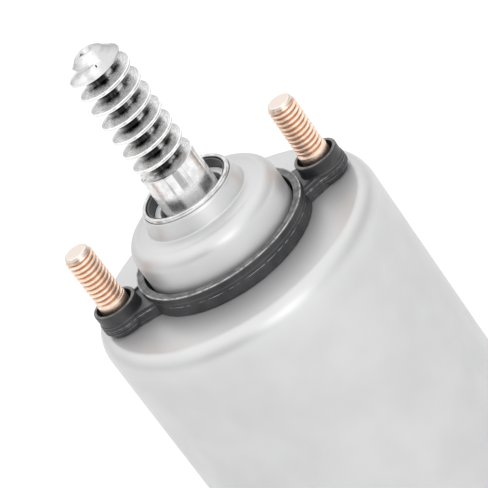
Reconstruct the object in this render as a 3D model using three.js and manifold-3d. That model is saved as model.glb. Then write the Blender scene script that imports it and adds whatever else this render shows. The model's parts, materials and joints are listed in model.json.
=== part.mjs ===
// Brushed servo motor whose shaft carries a worm, held by two long through-bolts.
// Millimetres. +Z runs along the shaft towards the worm, the origin is the centre of the
// rear rest face, and the two bolts lie on the X axis.

import * as THREE from 'three';
import { mergeVertices } from 'three/addons/utils/BufferGeometryUtils.js';
import Module from 'manifold-3d';

const wasm = await Module();
wasm.setup();

// ---------------------------------------------------------------- driving dimensions

const FLANGE_Z = 84;              // mounting face of the can
const CAN_RADIUS = 31.25;
const CAN_WALL = 1.75;
const CAN_REAR_Z = 14;            // rim of the can, where the end cover starts
const FLANGE_PLATE = 2.5;         // thickness of the can's front wall
const FLAT_RADIUS = 28.4;         // outer edge of the flat mounting face
const SHOULDER_DROP = 3.9;        // height of the rounded shoulder beside it

const BOSS_RADIUS = 16.3;
const BOSS_SIDE = 8.8;            // straight height of the boss wall
const BOSS_CROWN_RADIUS = 13.65;
const BOSS_CROWN = 11.85;
const NECK_BASE = [10.8, 12.1];
const NECK_TOP = [10.15, 15.3];
const NECK_RIM = 15.6;

const BEARING_SEAT_RADIUS = 14.05;
const SEAL_BORE_RADIUS = 9.65;
const SEAL_RIM = 16.4;            // the seal case stands proud of the neck
const SEAL_FLOOR = 14;            // top of the seal's inner ring
const SEAL_LIP_BASE = 12.2;       // the sealing lip hangs below this height

const GASKET_SEAT_RADIUS = 19.2;  // the gasket stands in a shallow seat of this radius
const GASKET_SEAT_DEPTH = 0.05;
const COLLAR_TOP = 4.4;
const EYELET_TOP = 5.6;
const EYELET_BORE = 3.95;

const BOLT_OFFSET = 24;           // bolts at X = +24 and X = -24
const BOLT_RADIUS = 2.95;
const BOLT_COLLAR_RADIUS = 3.1;
const BOLT_HOLE_RADIUS = 3.3;
const BOLT_TIP = 19.05;           // height of the stud ends above the flange

const SHAFT_RADIUS = 6;
const REAR_JOURNAL_RADIUS = 3.95;
const COMMUTATOR_SEAT_RADIUS = 5;
const WORM_RADIUS = 5.95;
const WORM_ROOT_RADIUS = 3.7;
const WORM_PITCH = 3.6;
const WORM_CREST_AT_X = 41.21;    // a crest crosses the +X side this far above the flange
const WORM_START = 22.7;
const SHAFT_STEP = 19.7;          // the shaft is a little thinner above this height
// The worm runs out through a domed end: heights above the flange and radii of the dome.
const WORM_DOME = [[47, 5.95], [47.8, 5.4], [48.6, 4.3], [49.4, 3.5], [50, 2.95], [50.5, 1.6]];
const SHAFT_TIP = 50.6;
const SHAFT_TIP_RADIUS = 1.3;

const ROTOR_RADIUS = 20;
const CORE_Z = [37.4, 66];
const SLOT_COUNT = 10;
const COMMUTATOR_RADIUS = 10;
const MAGNET_RADII = [20.8, 29.2];
const MAGNET_Z = [32, 71.5];
const MAGNET_HALF_ANGLE = 33;     // degrees

const BRUSH_ANGLES = [45, 135];   // degrees from +X
const CHOKE_ANGLES = [-45, -135];
const TERMINAL_OFFSETS = [-4, 4];

const FINE = 32;                  // facets round large turned pieces
const COARSE = 18;                // facets round small turned pieces

// ---------------------------------------------------------------- finishes

const finish = (color, roughness, metalness) =>
  new THREE.MeshStandardMaterial({ color, roughness, metalness });

const satinSteel = finish(0xc9cbcc, 0.38, 0.75);
const polishedSteel = finish(0xe4e6e8, 0.12, 1);
const copperPlate = finish(0xd99a70, 0.35, 0.9);
const blackRubber = finish(0x2b2c2d, 0.75, 0);
const springSteel = finish(0x8c9094, 0.3, 1);
const bearingSteel = finish(0xb9bdc1, 0.18, 1);
const ferrite = finish(0x3a3b3d, 0.8, 0.1);
const laminations = finish(0x777a7c, 0.5, 0.8);
const copperWire = finish(0xb4622f, 0.4, 0.9);
const insulation = finish(0x4f7a52, 0.6, 0);
const blackPlastic = finish(0x1f2022, 0.55, 0);
const castAluminium = finish(0xa9adb0, 0.5, 0.85);
const brass = finish(0xc9a24e, 0.35, 0.95);
const carbon = finish(0x2a2a2c, 0.85, 0.1);

// ---------------------------------------------------------------- geometry helpers

const radians = THREE.MathUtils.degToRad;
const above = (height) => FLANGE_Z + height;

// Joins shared vertices and drops triangles that have collapsed onto the axis.
function weld(geometry) {
  const bare = geometry.clone();
  bare.deleteAttribute('normal');
  bare.deleteAttribute('uv');
  const merged = mergeVertices(bare, 1e-4);
  const index = merged.getIndex().array;
  const kept = [];
  for (let i = 0; i < index.length; i += 3) {
    const [a, b, c] = [index[i], index[i + 1], index[i + 2]];
    if (a !== b && b !== c && c !== a) kept.push(a, b, c);
  }
  merged.setIndex(kept);
  return merged;
}

// Turns a closed outline of [radius, z] points about the Z axis.
function turned(outline, facets = COARSE) {
  const points = outline.map(([radius, z]) => new THREE.Vector2(radius, z));
  if (THREE.ShapeUtils.area(points) < 0) points.reverse();
  points.push(points[0].clone());
  return weld(new THREE.LatheGeometry(points, facets).rotateX(Math.PI / 2));
}

// Quarter of an ellipse from [startRadius, startZ] (vertical side) to [endRadius, endZ] (flat top).
function roundedShoulder(startRadius, startZ, endRadius, endZ, steps) {
  const points = [];
  for (let i = 0; i <= steps; i += 1) {
    const angle = (i / steps) * Math.PI / 2;
    points.push([
      endRadius + (startRadius - endRadius) * Math.cos(angle),
      startZ + (endZ - startZ) * Math.sin(angle),
    ]);
  }
  return points;
}

function ring(innerRadius, outerRadius, lowZ, highZ, facets = COARSE) {
  return turned([
    [innerRadius, lowZ], [outerRadius, lowZ], [outerRadius, highZ], [innerRadius, highZ],
  ], facets);
}

function prism(points, lowZ, highZ, holes = []) {
  const shape = new THREE.Shape(points.map(([x, y]) => new THREE.Vector2(x, y)));
  for (const radius of holes) {
    shape.holes.push(new THREE.Path().absarc(0, 0, radius, 0, 2 * Math.PI, true));
  }
  const options = { depth: highZ - lowZ, bevelEnabled: false, curveSegments: 10 };
  return weld(new THREE.ExtrudeGeometry(shape, options).translate(0, 0, lowZ));
}

function block(low, high) {
  const size = high.map((value, i) => value - low[i]);
  const middle = high.map((value, i) => (value + low[i]) / 2);
  return weld(new THREE.BoxGeometry(...size).translate(...middle));
}

function post(radius, lowZ, highZ, x = 0, facets = COARSE) {
  const cylinder = new THREE.CylinderGeometry(radius, radius, highZ - lowZ, facets);
  return weld(cylinder.rotateX(Math.PI / 2).translate(x, 0, (lowZ + highZ) / 2));
}

// Points along an arc about the Z axis, angles in degrees.
function arc(radius, from, to, steps) {
  const points = [];
  for (let i = 0; i <= steps; i += 1) {
    const angle = radians(from + (to - from) * (i / steps));
    points.push([radius * Math.cos(angle), radius * Math.sin(angle)]);
  }
  return points;
}

function toSolid(geometry) {
  return new wasm.Manifold(new wasm.Mesh({
    numProp: 3,
    vertProperties: new Float32Array(geometry.getAttribute('position').array),
    triVerts: new Uint32Array(geometry.getIndex().array),
  }));
}

function toGeometry(solid) {
  const mesh = solid.getMesh();
  const geometry = new THREE.BufferGeometry();
  geometry.setAttribute('position', new THREE.BufferAttribute(mesh.vertProperties, 3));
  geometry.setIndex(new THREE.BufferAttribute(mesh.triVerts, 1));
  return geometry;
}

// Joins every geometry in `joined`, then cuts every geometry in `cuts` from the result.
function carve(joined, cuts = []) {
  let solid = toSolid(joined[0]);
  for (const geometry of joined.slice(1)) solid = solid.add(toSolid(geometry));
  for (const geometry of cuts) solid = solid.subtract(toSolid(geometry));
  return toGeometry(solid);
}

function aboutZ(geometry, degrees) {
  return geometry.clone().rotateZ(radians(degrees));
}

class HelixCurve extends THREE.Curve {
  constructor(radius, length, turns) {
    super();
    this.radius = radius;
    this.length = length;
    this.turns = turns;
  }

  getPoint(t, target = new THREE.Vector3()) {
    const angle = 2 * Math.PI * this.turns * t;
    return target.set(this.radius * Math.cos(angle), this.radius * Math.sin(angle), this.length * t);
  }
}

// ---------------------------------------------------------------- assembly

const motor = new THREE.Group();

function addPart(name, geometry, material, parent = motor) {
  const mesh = new THREE.Mesh(geometry, material);
  mesh.name = name;
  parent.add(mesh);
  return mesh;
}

// A group whose +X axis points outwards at the given angle about the shaft.
function spoke(degrees) {
  const group = new THREE.Group();
  group.rotation.z = radians(degrees);
  motor.add(group);
  return group;
}

// ---------------------------------------------------------------- can, boss and gasket

function buildCan() {
  const inner = CAN_RADIUS - CAN_WALL;
  const plateBack = FLANGE_Z - FLANGE_PLATE;
  const seat = above(-GASKET_SEAT_DEPTH);
  const outline = [
    [CAN_RADIUS, CAN_REAR_Z],
    ...roundedShoulder(CAN_RADIUS, FLANGE_Z - SHOULDER_DROP, FLAT_RADIUS, FLANGE_Z, 5),
    [GASKET_SEAT_RADIUS + 0.2, FLANGE_Z],
    [GASKET_SEAT_RADIUS, seat],
    [BOSS_RADIUS + 0.6, seat],
    [BOSS_RADIUS, above(0.6)],
    ...roundedShoulder(BOSS_RADIUS, above(BOSS_SIDE), BOSS_CROWN_RADIUS, above(BOSS_CROWN), 4),
    [NECK_BASE[0], above(NECK_BASE[1])],
    [NECK_TOP[0], above(NECK_TOP[1])],
    [NECK_TOP[0] - 0.2, above(NECK_RIM)],
    [SEAL_BORE_RADIUS, above(NECK_RIM)],
    [SEAL_BORE_RADIUS, above(8.75)],
    [12.4, above(8.75)],
    [12.4, above(7.7)],
    [BEARING_SEAT_RADIUS, above(7.7)],
    [BEARING_SEAT_RADIUS, plateBack],
    [inner - 0.8, plateBack],
    [inner, plateBack - 0.8],
    [inner, CAN_REAR_Z],
  ];
  const holes = [-BOLT_OFFSET, BOLT_OFFSET].map((x) =>
    post(BOLT_HOLE_RADIUS, plateBack - 1, FLANGE_Z + 1, x));
  addPart('motor_can', carve([turned(outline, FINE)], holes), satinSteel);
}

function buildGasket() {
  const collar = turned([
    [16.95, above(0)], [18.65, above(0)], [18.65, above(1.9)], [18.35, above(2.1)],
    [18.6, above(2.4)], [18.6, above(4)], [18.35, above(COLLAR_TOP)],
    [17.2, above(COLLAR_TOP)], [16.95, above(4.1)],
  ], FINE);
  const eyelet = turned([
    [3, above(0)], [4.1, above(0)], [4.85, above(1.1)], [4.85, above(3)], [4.65, above(3.3)],
    [4.65, above(EYELET_TOP - 0.3)], [4.4, above(EYELET_TOP)], [3, above(EYELET_TOP)],
  ]);
  const web = prism([[17.6, -5.2], [22.5, -4.2], [22.5, 4.2], [17.6, 5.2]], above(0), above(3));
  const joined = [collar];
  const cuts = [];
  for (const side of [1, -1]) {
    joined.push(eyelet.clone().translate(side * BOLT_OFFSET, 0, 0));
    joined.push(side > 0 ? web : aboutZ(web, 180));
    cuts.push(post(EYELET_BORE, FLANGE_Z - 1, above(7), side * BOLT_OFFSET));
  }
  addPart('profile_gasket', carve(joined, cuts), blackRubber);
}

// ---------------------------------------------------------------- shaft seal

function buildShaftSeal() {
  addPart('seal_case', turned([
    [7.5, above(9)], [9.6, above(9)], [9.6, above(SEAL_RIM - 0.3)], [9.35, above(SEAL_RIM)],
    [9.05, above(SEAL_RIM)], [8.8, above(SEAL_RIM - 0.25)], [8.8, above(9.8)], [7.5, above(9.8)],
  ], FINE), polishedSteel);
  addPart('seal_lip', turned([
    [6.25, above(9.1)], [6.45, above(9.1)], [6.5, above(9.9)], [6.9, above(10.1)],
    [8.7, above(10.1)], [8.7, above(SEAL_RIM - 0.6)], [8.5, above(SEAL_RIM - 0.4)],
    [8.25, above(SEAL_RIM - 0.6)], [8.25, above(SEAL_LIP_BASE)], [6.8, above(SEAL_LIP_BASE)],
    [6.8, above(SEAL_FLOOR - 0.3)], [6.25, above(SEAL_FLOOR - 0.6)],
  ]), blackRubber);
  addPart('seal_inner_ring', turned([
    [6.9, above(SEAL_LIP_BASE + 0.1)], [8.15, above(SEAL_LIP_BASE + 0.1)],
    [8.15, above(SEAL_FLOOR)], [6.9, above(SEAL_FLOOR)],
  ]), bearingSteel);
  const garter = [];
  for (let i = 0; i < 6; i += 1) {
    const angle = (i / 6) * 2 * Math.PI;
    garter.push([6.95 + 0.3 * Math.cos(angle), above(9.5) + 0.3 * Math.sin(angle)]);
  }
  addPart('garter_spring', turned(garter), springSteel);
}

// ---------------------------------------------------------------- ball bearings

// A deep-groove bearing standing on z = lowZ, as an inner ring, an outer ring and a ball set.
function buildBearing(name, { bore, outer, lowZ, width, ballRadius, ballCount }) {
  const pitchRadius = (bore + outer) / 2;
  const middleZ = lowZ + width / 2;
  const land = 0.69 * ballRadius;         // half gap between the two rings
  const lip = 0.86 * ballRadius;          // half width of the ball groove
  const grooveFloor = ballRadius + 0.25;

  addPart(`${name}_inner_ring`, turned([
    [bore, lowZ], [pitchRadius - land, lowZ], [pitchRadius - land, middleZ - lip],
    [pitchRadius - grooveFloor, middleZ - lip / 2], [pitchRadius - grooveFloor, middleZ + lip / 2],
    [pitchRadius - land, middleZ + lip], [pitchRadius - land, lowZ + width], [bore, lowZ + width],
  ]), bearingSteel);
  addPart(`${name}_outer_ring`, turned([
    [outer, lowZ], [outer, lowZ + width], [pitchRadius + land, lowZ + width],
    [pitchRadius + land, middleZ + lip], [pitchRadius + grooveFloor, middleZ + lip / 2],
    [pitchRadius + grooveFloor, middleZ - lip / 2], [pitchRadius + land, middleZ - lip],
    [pitchRadius + land, lowZ],
  ]), bearingSteel);

  const halfCage = 0.4 * land;
  const joined = [ring(pitchRadius - halfCage, pitchRadius + halfCage, middleZ - 0.6, middleZ + 0.6)];
  for (let i = 0; i < ballCount; i += 1) {
    const ball = weld(new THREE.SphereGeometry(ballRadius, 7, 5));
    joined.push(aboutZ(ball.translate(pitchRadius, 0, middleZ), (i * 360) / ballCount));
  }
  addPart(`${name}_ball_cage`, carve(joined), brass);
}

// ---------------------------------------------------------------- shaft and worm

// A screw body of trapezoidal thread, with its rows of vertices laid along the helix, so that
// the end of a row meets the start of the row one pitch higher.
function screwBody(columns, turns, startZ) {
  const tipRadius = WORM_RADIUS + 0.5;
  const halfTip = 0.07;
  const halfRoot = 0.45;
  const rowsPerPitch = [
    [tipRadius, -halfTip], [tipRadius, halfTip],
    [WORM_ROOT_RADIUS, WORM_PITCH / 2 - halfRoot], [WORM_ROOT_RADIUS, WORM_PITCH / 2 + halfRoot],
  ];
  const rows = rowsPerPitch.length * turns;
  const positions = [];
  const vertexAt = new Map();

  const addVertex = (row, column) => {
    const [radius, offset] = rowsPerPitch[row % rowsPerPitch.length];
    const pitches = Math.floor(row / rowsPerPitch.length) + column / columns;
    const angle = (2 * Math.PI * column) / columns;
    vertexAt.set(`${row},${column}`, positions.length / 3);
    const z = startZ + offset + WORM_PITCH * pitches;
    positions.push(radius * Math.cos(angle), radius * Math.sin(angle), z);
  };
  for (let row = 0; row <= rows + rowsPerPitch.length; row += 1) {
    const lastColumn = row <= rows ? columns - 1 : 0;
    for (let column = 0; column <= lastColumn; column += 1) addVertex(row, column);
  }
  const vertex = (row, column) => (column === columns
    ? vertexAt.get(`${row + rowsPerPitch.length},0`)
    : vertexAt.get(`${row},${column}`));

  const triangles = [];
  for (let row = 0; row < rows; row += 1) {
    for (let column = 0; column < columns; column += 1) {
      const [a, b] = [vertex(row, column), vertex(row, column + 1)];
      const [c, d] = [vertex(row + 1, column + 1), vertex(row + 1, column)];
      triangles.push(a, b, c, a, c, d);
    }
  }

  // Each end is closed by a fan about a point on the axis.
  const closeEnd = (row, z, upwards) => {
    const rim = [];
    for (let column = 0; column <= columns; column += 1) rim.push(vertex(row, column));
    for (let step = rowsPerPitch.length - 1; step >= 1; step -= 1) rim.push(vertex(row + step, 0));
    const centre = positions.length / 3;
    positions.push(0, 0, z);
    rim.forEach((from, i) => {
      const to = rim[(i + 1) % rim.length];
      if (upwards) triangles.push(centre, from, to);
      else triangles.push(centre, to, from);
    });
  };
  closeEnd(0, startZ, false);
  closeEnd(rows, startZ + WORM_PITCH * (turns + 1), true);

  const geometry = new THREE.BufferGeometry();
  geometry.setAttribute('position', new THREE.Float32BufferAttribute(positions, 3));
  geometry.setIndex(triangles);
  return geometry;
}

function buildShaft() {
  const turns = 11;
  const startZ = above(WORM_CREST_AT_X) - 7 * WORM_PITCH;
  const screw = screwBody(COARSE, turns, startZ);
  const envelope = turned([
    [0, above(WORM_START - 1)], [WORM_RADIUS, above(WORM_START - 1)],
    ...WORM_DOME.map(([height, radius]) => [radius, above(height)]),
    [SHAFT_TIP_RADIUS, above(SHAFT_TIP)], [0, above(SHAFT_TIP)],
  ]);
  const worm = toSolid(screw).intersect(toSolid(envelope));
  const core = turned([
    [0, 3.6], [REAR_JOURNAL_RADIUS - 0.5, 3.6], [REAR_JOURNAL_RADIUS, 4.1],
    [REAR_JOURNAL_RADIUS, 11.6], [COMMUTATOR_SEAT_RADIUS, 11.6], [COMMUTATOR_SEAT_RADIUS, 28.2],
    [SHAFT_RADIUS, 28.2], [SHAFT_RADIUS, above(SHAFT_STEP)],
    [SHAFT_RADIUS - 0.05, above(SHAFT_STEP + 0.05)],
    [SHAFT_RADIUS - 0.05, above(WORM_START)], [0, above(WORM_START)],
  ]);
  addPart('worm_shaft', toGeometry(toSolid(core).add(worm)), polishedSteel);

  const spacerTop = above(-0.7);
  addPart('shaft_spacer', ring(SHAFT_RADIUS + 0.05, 8, 75.4, spacerTop), bearingSteel);
  const clip = [...arc(SHAFT_RADIUS + 0.3, 30, 330, 14), ...arc(7.6, 330, 30, 14)];
  addPart('shaft_circlip', prism(clip, above(7.8), above(8.6)), springSteel);
}

// ---------------------------------------------------------------- rotor

// Outline of a slotted lamination, one slot on +X and the others evenly round the shaft.
function laminationOutline(radius) {
  const slot = [
    [radius, -1.2], [radius - 1.3, -1.2], [radius - 2, -3.6], [11.5, -1.9],
    [11.5, 1.9], [radius - 2, 3.6], [radius - 1.3, 1.2], [radius, 1.2],
  ];
  const slotPitch = 360 / SLOT_COUNT;
  const points = [];
  for (let i = 0; i < SLOT_COUNT; i += 1) {
    const turn = radians(i * slotPitch);
    for (const [x, y] of slot) {
      points.push([x * Math.cos(turn) - y * Math.sin(turn), x * Math.sin(turn) + y * Math.cos(turn)]);
    }
    const toothStart = i * slotPitch + 8;
    points.push(...arc(radius, toothStart, toothStart + slotPitch - 16, 1));
  }
  return points;
}

function buildRotor() {
  const bore = SHAFT_RADIUS + 0.15;
  const outline = laminationOutline(ROTOR_RADIUS);
  const [coreLow, coreHigh] = CORE_Z;
  addPart('rotor_core', prism(outline, coreLow, coreHigh, [bore]), laminations);
  const disc = laminationOutline(ROTOR_RADIUS - 0.4);
  addPart('rear_slot_insulator', prism(disc, coreLow - 1.2, coreLow - 0.2, [bore]), insulation);
  addPart('front_slot_insulator', prism(disc, coreHigh + 0.2, coreHigh + 1.2, [bore]), insulation);

  const bundle = (lowZ, highZ) => turned([
    [8.8, lowZ + 1], [10, lowZ], [16.6, lowZ], [18.2, lowZ + 1.8], [18.2, highZ - 1.8],
    [16.6, highZ], [10, highZ], [8.8, highZ - 1],
  ]);
  const bar = prism([[12.1, -1.4], [17.3, -2.8], [17.3, 2.8], [12.1, 1.4]], coreLow - 3, coreHigh + 3);
  const wires = [bundle(28.6, coreLow - 1.4), bundle(coreHigh + 1.4, 75)];
  for (let i = 0; i < SLOT_COUNT; i += 1) wires.push(aboutZ(bar, (i * 360) / SLOT_COUNT));
  addPart('armature_winding', carve(wires), copperWire);

  const cuts = [];
  for (let i = 0; i < SLOT_COUNT; i += 1) {
    const groove = block([8.8, -0.3, 14], [13, 0.3, 30]);
    cuts.push(aboutZ(groove, ((i + 0.5) * 360) / SLOT_COUNT));
  }
  const barrel = turned([
    [COMMUTATOR_SEAT_RADIUS + 0.1, 15.2], [COMMUTATOR_RADIUS, 15.2], [COMMUTATOR_RADIUS, 26.4],
    [11.4, 26.8], [11.4, 28], [COMMUTATOR_SEAT_RADIUS + 0.1, 28],
  ]);
  addPart('commutator', carve([barrel], cuts), copperWire);
}

// ---------------------------------------------------------------- magnets

function buildMagnets() {
  const [inner, outer] = MAGNET_RADII;
  const half = MAGNET_HALF_ANGLE;
  const outline = [...arc(inner, half, -half, 8), ...arc(outer, -half, half, 8)];
  [45, 135, 225, 315].forEach((degrees, i) => {
    addPart(`magnet_${i + 1}`, prism(outline, ...MAGNET_Z), ferrite, spoke(degrees));
  });
  const clip = [
    [28.6, -5], [28.6, -4.3], [22.9, -3.3], [22.4, -2.6], [22.4, 2.6], [22.9, 3.3], [28.6, 4.3],
    [28.6, 5], [22.6, 3.9], [21.8, 2.9], [21.8, -2.9], [22.6, -3.9],
  ];
  addPart('magnet_spring_front_side', prism(clip, 36, 68), springSteel, spoke(-90));
  addPart('magnet_spring_back_side', prism(clip, 36, 68), springSteel, spoke(90));
}

// ---------------------------------------------------------------- brush gear

function buildBrushGear() {
  const plate = ring(12.5, 26.3, 14.6, 16.6);
  const reliefs = [-BOLT_OFFSET, BOLT_OFFSET].map((x) => post(4, 14, 17, x));
  addPart('brush_plate', carve([plate], reliefs), blackPlastic);

  const shell = block([11.6, -3.9, 16.7], [24.8, 3.9, 24.3]);
  const tunnel = block([11, -3.2, 17.3], [24.2, 3.2, 23.7]);
  const brush = block([10.35, -3, 17.5], [18, 3, 23.5]);
  const wire = new THREE.Shape().absarc(0, 0, 0.35, 0, 2 * Math.PI, false);
  const path = new HelixCurve(2.2, 5, 4);
  const coil = new THREE.ExtrudeGeometry(wire, { steps: 32, curveSegments: 3, extrudePath: path });
  coil.rotateY(Math.PI / 2).translate(18.6, 0, 20.5);
  BRUSH_ANGLES.forEach((degrees, i) => {
    const side = spoke(degrees);
    addPart(`brush_holder_${i + 1}`, carve([shell], [tunnel]), brass, side);
    addPart(`carbon_brush_${i + 1}`, brush, carbon, side);
    addPart(`brush_spring_${i + 1}`, weld(coil), springSteel, side);
  });

  const choke = turned([
    [0, -7], [2.2, -7], [2.2, -5], [3.3, -5], [3.3, 5], [2.2, 5], [2.2, 7], [0, 7],
  ], 10).rotateX(Math.PI / 2).translate(18, 0, 20.4);
  CHOKE_ANGLES.forEach((degrees, i) => {
    addPart(`choke_${i + 1}`, choke, copperWire, spoke(degrees));
  });
}

// ---------------------------------------------------------------- end cover and connector

function buildEndCover() {
  const body = turned([
    [0, 0], [12.5, 0], [13.3, 1.2], [16.7, 1.2], [17.5, 0], [30.2, 0], [CAN_RADIUS, 1],
    [CAN_RADIUS, CAN_REAR_Z], [29.2, CAN_REAR_Z], [29.2, 14.8], [27.9, 15], [27.9, 16.4],
    [29.2, 16.6], [29.2, 18.4], [26.8, 18.4], [26.8, 14.2], [11.15, 14.2], [11.15, 3.2], [0, 3.2],
  ], FINE);
  const cuts = [];
  for (const x of [-BOLT_OFFSET, BOLT_OFFSET]) {
    cuts.push(post(5.6, -1, 7, x));
    cuts.push(post(BOLT_HOLE_RADIUS, 6, 20, x));
  }
  for (const x of TERMINAL_OFFSETS) {
    cuts.push(block([x - 2, 13, 6.6], [x + 2, 33, 8.2]));
    cuts.push(block([x - 2, 13, 7], [x + 2, 15.2, 15]));
  }
  addPart('end_cover', carve([body], cuts), castAluminium);

  const sealSection = [];
  for (let i = 0; i < 6; i += 1) {
    const angle = (i / 6) * 2 * Math.PI;
    sealSection.push([28.68 + 0.58 * Math.cos(angle), 15.7 + 0.58 * Math.sin(angle)]);
  }
  addPart('cover_seal_ring', turned(sealSection, FINE), blackRubber);

  const washer = ring(9.3, 10.8, 3.45, 3.75);
  const position = washer.getAttribute('position');
  for (let i = 0; i < position.count; i += 1) {
    const angle = Math.atan2(position.getY(i), position.getX(i));
    position.setZ(i, position.getZ(i) + 0.18 * Math.sin(3 * angle));
  }
  addPart('wave_washer', washer, springSteel);
  addPart('bearing_retainer', ring(11.3, 13.95, above(-2.3), above(-0.6)), springSteel);
}

// Cross-section of the connector, drawn in X and Z.
function roundedBox(halfWidth, lowZ, highZ, corner) {
  const shape = new THREE.Shape();
  shape.moveTo(-halfWidth + corner, lowZ);
  shape.absarc(halfWidth - corner, lowZ + corner, corner, -Math.PI / 2, 0, false);
  shape.absarc(halfWidth - corner, highZ - corner, corner, 0, Math.PI / 2, false);
  shape.absarc(-halfWidth + corner, highZ - corner, corner, Math.PI / 2, Math.PI, false);
  shape.absarc(-halfWidth + corner, lowZ + corner, corner, Math.PI, 1.5 * Math.PI, false);
  return shape;
}

function buildConnector() {
  const [rootY, mouthY] = [28, 49];
  const options = { depth: mouthY - rootY, bevelEnabled: false, curveSegments: 3 };
  const sleeve = new THREE.ExtrudeGeometry(roundedBox(10.5, 0.9, 13.3, 2.6), options);
  sleeve.rotateX(Math.PI / 2).translate(0, mouthY, 0);
  const latch = prism([[39.5, 13], [44.5, 13], [44.5, 13.6], [40.6, 14.5], [39.5, 14.5]], -2.5, 2.5);
  latch.rotateX(Math.PI / 2).rotateZ(Math.PI / 2);
  const joined = [
    weld(sleeve),
    block([-12, rootY, 0.5], [12, 33.5, 13.7]),
    block([-11.2, 33, 6], [11.2, 47, 8]),
    latch,
  ];
  const cuts = [
    block([-8.3, 35, 3.1], [8.3, mouthY + 1, 11.1]),
    post(CAN_RADIUS + 0.3, -1, 20, 0, FINE),
  ];
  for (const x of TERMINAL_OFFSETS) cuts.push(block([x - 1.8, 27, 6.7], [x + 1.8, 36, 8.1]));
  addPart('connector_housing', carve(joined, cuts), blackPlastic);

  const sealFrame = block([-7.9, 35.1, 3.5], [7.9, 36.8, 10.7]);
  const sealWindow = block([-6.2, 34, 5.6], [6.2, 38, 9.2]);
  addPart('connector_seal', carve([sealFrame], [sealWindow]), blackRubber);

  TERMINAL_OFFSETS.forEach((x, i) => {
    const blade = block([x - 1.5, 13.6, 7], [x + 1.5, 43, 7.8]);
    const leg = block([x - 1.5, 13.6, 7], [x + 1.5, 14.4, 14.4]);
    addPart(`terminal_${i + 1}`, carve([blade, leg]), brass);
  });
}

// ---------------------------------------------------------------- through-bolts

function buildBolts() {
  const outline = [
    [0, 0.8], [4.6, 0.8], [5, 1.2], [5, 6.8], [BOLT_RADIUS, 6.8], [BOLT_RADIUS, 80.5],
    [BOLT_COLLAR_RADIUS, 80.8], [BOLT_COLLAR_RADIUS, above(6.1)], [BOLT_RADIUS, above(6.5)],
    [BOLT_RADIUS, above(BOLT_TIP - 1.5)], [BOLT_RADIUS - 0.3, above(BOLT_TIP - 0.7)],
    [BOLT_RADIUS - 0.6, above(BOLT_TIP)], [0, above(BOLT_TIP)],
  ];
  const hexSocket = post(2.9, 0, 4.4, 0, 6);
  const bolt = carve([turned(outline)], [hexSocket]);
  addPart('through_bolt_left', bolt, copperPlate).position.x = -BOLT_OFFSET;
  addPart('through_bolt_right', bolt, copperPlate).position.x = BOLT_OFFSET;
}

buildCan();
buildGasket();
buildShaftSeal();
buildBearing('front_bearing', {
  bore: SHAFT_RADIUS + 0.05, outer: 13.95, lowZ: above(-0.4), width: 8, ballRadius: 2.1, ballCount: 8,
});
buildBearing('rear_bearing', {
  bore: REAR_JOURNAL_RADIUS + 0.05, outer: 11, lowZ: 4, width: 7, ballRadius: 1.75, ballCount: 7,
});
buildShaft();
buildRotor();
buildMagnets();
buildBrushGear();
buildEndCover();
buildConnector();
buildBolts();

export default motor;
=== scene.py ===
"""Looks of a brushed servo motor with a worm on its shaft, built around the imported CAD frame."""

import json
import math

import bmesh
import bpy
from mathutils import Matrix, Vector


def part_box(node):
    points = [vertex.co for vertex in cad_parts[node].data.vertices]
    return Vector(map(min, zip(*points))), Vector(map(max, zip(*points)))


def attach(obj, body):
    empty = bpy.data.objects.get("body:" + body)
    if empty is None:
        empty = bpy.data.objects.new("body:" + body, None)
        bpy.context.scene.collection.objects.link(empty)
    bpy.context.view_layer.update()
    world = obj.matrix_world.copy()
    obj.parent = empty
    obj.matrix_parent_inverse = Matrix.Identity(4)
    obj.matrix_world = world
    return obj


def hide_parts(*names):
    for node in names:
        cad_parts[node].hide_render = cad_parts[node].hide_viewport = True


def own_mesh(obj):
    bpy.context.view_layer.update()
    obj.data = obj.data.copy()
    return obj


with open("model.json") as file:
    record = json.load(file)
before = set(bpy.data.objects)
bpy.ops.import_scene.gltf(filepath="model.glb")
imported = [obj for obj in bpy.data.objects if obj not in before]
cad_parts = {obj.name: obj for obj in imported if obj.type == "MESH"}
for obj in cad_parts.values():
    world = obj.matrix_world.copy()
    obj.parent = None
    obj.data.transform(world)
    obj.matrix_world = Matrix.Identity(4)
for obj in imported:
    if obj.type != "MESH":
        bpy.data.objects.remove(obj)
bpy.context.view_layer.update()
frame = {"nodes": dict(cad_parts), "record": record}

MM = 0.001
scene = bpy.context.scene
mounts = {m["name"]: m for m in frame["record"]["mounts"]}
joints = {j["name"]: j for j in frame["record"]["behaviour"]["joints"]}
FLANGE = mounts["flange_face"]["pos_m"][2] / MM


def middle(node):
    low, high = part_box(node)
    return (low + high) / 2 / MM


def top(node):
    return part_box(node)[1].z / MM


def bottom(node):
    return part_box(node)[0].z / MM


# Sizes in millimetres. Those that above() takes are heights over the flange face.
CAN_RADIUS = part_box("motor_can")[1].x / MM
CAN_REAR = bottom("motor_can")
BOLT_X = middle("through_bolt_right").x
NECK_RIM = top("motor_can") - FLANGE
SEAL_RIM = top("seal_case") - FLANGE
SEAL_FLOOR = top("seal_inner_ring") - FLANGE
SHAFT_TIP = top("worm_shaft") - FLANGE
BOLT_TIP = top("through_bolt_right") - FLANGE
GASKET_TOP = top("profile_gasket") - FLANGE
TERMINALS = [middle("terminal_1").x, middle("terminal_2").x]
CAN_WALL = 1.75
FLANGE_THICKNESS = 2.5
SHOULDER = 3.9
BOSS_RADIUS = 16.3
BOSS_SIDE = 8.8
BOSS_CROWN = 11.8
SEAL_BORE = 9.65
BEARING_SEAT = 14.05
BOLT_HOLE = 3.3
GASKET_FOOT = 0.02
COLLAR_TOP = 4.4
COLLAR_RADIUS = 18.65
SEAM_HEIGHT = 2.14
RIDGE_PITCH = 0.55
EYELET_BORE = 3.95
SHAFT_RADIUS = 6
WORM_START = 22.7
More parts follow.
